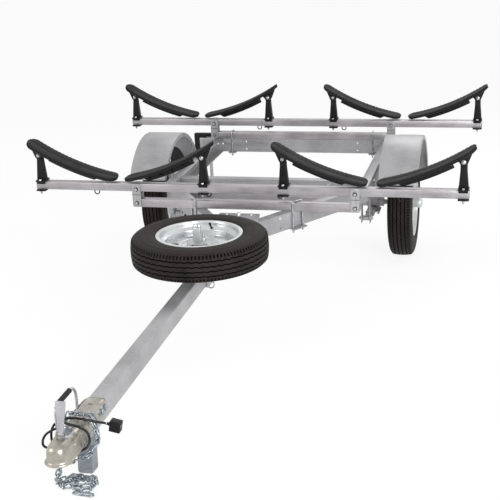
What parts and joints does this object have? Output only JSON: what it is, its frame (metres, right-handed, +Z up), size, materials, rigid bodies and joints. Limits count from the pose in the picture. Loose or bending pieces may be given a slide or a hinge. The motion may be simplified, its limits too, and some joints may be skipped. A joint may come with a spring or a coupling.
{
  "type": "kayak trailer",
  "caption": "Kayak trailer: V frame on a sprung axle, long tongue with ball coupler, spare wheel on the tongue, and padded saddle carriers on cross bars.",
  "frame": {"origin": "on the ground below the middle of the trailer's length and width, without its loose wiring lead", "axes": "+Y from the coupler to the tail, +X to the right as seen from the coupler end, +Z up; the trailer's own frame leans forward 5.3 degrees about X"},
  "size_m": [2.0328, 3.6186, 0.8153],
  "materials": {
    "galvanised_steel": "pale silver-grey galvanised steel, dull with a faint spangle",
    "zinc_plated_steel": "bright zinc plate",
    "coupler_zinc": "satin zinc plate with a warm tint",
    "lever_coating": "pale grey coating",
    "tyre_rubber": "matt black rubber with a faint brown cast",
    "black_plastic": "matt black plastic",
    "carrier_pad": "matt black foam rubber",
    "red_lens": "glossy red lens plastic"
  },
  "bodies": {
    "frame": {"tongue": "galvanised_steel", "frame_rail_left": "galvanised_steel", "frame_rail_right": "galvanised_steel", "front_cross_channel": "galvanised_steel", "rear_cross_channel": "galvanised_steel", "gusset_plates": "galvanised_steel", "lower_bar_front": "galvanised_steel", "lower_bar_rear": "galvanised_steel", "load_bar_front": "galvanised_steel", "load_bar_rear": "galvanised_steel", "bar_bracket_front_left": "galvanised_steel", "bar_bracket_front_right": "galvanised_steel", "bar_bracket_rear_left": "galvanised_steel", "bar_bracket_rear_right": "galvanised_steel", "u_bolt_front_left": "zinc_plated_steel", "u_bolt_front_right": "zinc_plated_steel", "u_bolt_rear_left": "zinc_plated_steel", "u_bolt_rear_right": "zinc_plated_steel", "leaf_spring_left": "galvanised_steel", "leaf_spring_right": "galvanised_steel", "spare_rim": "zinc_plated_steel", "spare_tyre": "tyre_rubber", "spare_carrier": "galvanised_steel", "fender_left": "galvanised_steel", "fender_right": "galvanised_steel", "tail_light_left": "red_lens", "tail_light_right": "red_lens", "coupler_body": "coupler_zinc", "lift_handle": "zinc_plated_steel", "handle_grip": "black_plastic", "tongue_foot": "galvanised_steel", "safety_chain_left": "zinc_plated_steel", "safety_chain_right": "zinc_plated_steel", "wiring_cable": "black_plastic", "cable_plug": "black_plastic", "carrier_post_front_left_inner": "black_plastic", "carrier_post_front_left_outer": "black_plastic", "carrier_post_front_right_inner": "black_plastic", "carrier_post_front_right_outer": "black_plastic", "carrier_post_rear_left_inner": "black_plastic", "carrier_post_rear_left_outer": "black_plastic", "carrier_post_rear_right_inner": "black_plastic", "carrier_post_rear_right_outer": "black_plastic"},
    "axle": {"axle": "galvanised_steel"},
    "left_wheel": {"rim_left": "zinc_plated_steel", "hub_left": "zinc_plated_steel", "tyre_left": "tyre_rubber"},
    "right_wheel": {"rim_right": "zinc_plated_steel", "hub_right": "zinc_plated_steel", "tyre_right": "tyre_rubber"},
    "latch_lever": {"latch_lever": "lever_coating"},
    "ball_clamp": {"ball_clamp": "zinc_plated_steel"},
    "wing_front_left_inner": {"carrier_wing_front_left_inner": "carrier_pad"},
    "wing_front_left_outer": {"carrier_wing_front_left_outer": "carrier_pad"},
    "wing_front_right_inner": {"carrier_wing_front_right_inner": "carrier_pad"},
    "wing_front_right_outer": {"carrier_wing_front_right_outer": "carrier_pad"},
    "wing_rear_left_inner": {"carrier_wing_rear_left_inner": "carrier_pad"},
    "wing_rear_left_outer": {"carrier_wing_rear_left_outer": "carrier_pad"},
    "wing_rear_right_inner": {"carrier_wing_rear_right_inner": "carrier_pad"},
    "wing_rear_right_outer": {"carrier_wing_rear_right_outer": "carrier_pad"}
  },
  "joints": [
    {"name": "axle_travel", "type": "slide", "parent": "frame", "child": "axle", "axis": [0, -0.0924, 0.9957], "range_m": [-0.02, 0.045], "stiffness_N_per_m": 90000, "springref_m": -0.0088, "deforming": ["leaf_spring_left", "leaf_spring_right"]},
    {"name": "left_wheel_spin", "type": "hinge", "parent": "axle", "child": "left_wheel", "pos_m": [-0.6313, 1.1808, 0.2683], "axis": [1, 0, 0], "continuous": true},
    {"name": "right_wheel_spin", "type": "hinge", "parent": "axle", "child": "right_wheel", "pos_m": [0.6313, 1.1808, 0.2683], "axis": [1, 0, 0], "continuous": true},
    {"name": "latch_lever_swing", "type": "hinge", "parent": "frame", "child": "latch_lever", "pos_m": [0, -1.7463, 0.1874], "axis": [-1, 0, 0], "range_deg": [0, 65]},
    {"name": "ball_clamp_lift", "type": "slide", "parent": "frame", "child": "ball_clamp", "axis": [0, -0.0924, 0.9957], "range_m": [0, 0.003]},
    {"name": "wing_front_left_inner_tilt", "type": "hinge", "parent": "frame", "child": "wing_front_left_inner", "pos_m": [-0.184, 0.352, 0.6172], "axis": [0, 0.9957, 0.0924], "range_deg": [0, 75]},
    {"name": "wing_front_left_outer_tilt", "type": "hinge", "parent": "frame", "child": "wing_front_left_outer", "pos_m": [-0.966, 0.352, 0.6172], "axis": [0, -0.9957, -0.0924], "range_deg": [0, 75]},
    {"name": "wing_front_right_inner_tilt", "type": "hinge", "parent": "frame", "child": "wing_front_right_inner", "pos_m": [0.184, 0.352, 0.6172], "axis": [0, -0.9957, -0.0924], "range_deg": [0, 75]},
    {"name": "wing_front_right_outer_tilt", "type": "hinge", "parent": "frame", "child": "wing_front_right_outer", "pos_m": [0.966, 0.352, 0.6172], "axis": [0, 0.9957, 0.0924], "range_deg": [0, 75]},
    {"name": "wing_rear_left_inner_tilt", "type": "hinge", "parent": "frame", "child": "wing_rear_left_inner", "pos_m": [-0.184, 1.7042, 0.7427], "axis": [0, 0.9957, 0.0924], "range_deg": [0, 75]},
    {"name": "wing_rear_left_outer_tilt", "type": "hinge", "parent": "frame", "child": "wing_rear_left_outer", "pos_m": [-0.966, 1.7042, 0.7427], "axis": [0, -0.9957, -0.0924], "range_deg": [0, 75]},
    {"name": "wing_rear_right_inner_tilt", "type": "hinge", "parent": "frame", "child": "wing_rear_right_inner", "pos_m": [0.184, 1.7042, 0.7427], "axis": [0, -0.9957, -0.0924], "range_deg": [0, 75]},
    {"name": "wing_rear_right_outer_tilt", "type": "hinge", "parent": "frame", "child": "wing_rear_right_outer", "pos_m": [0.966, 1.7042, 0.7427], "axis": [0, 0.9957, 0.0924], "range_deg": [0, 75]}
  ],
  "couplings": [
    {"joint": "ball_clamp_lift", "follows": "latch_lever_swing", "m_per_rad": 0.002644}
  ]
}
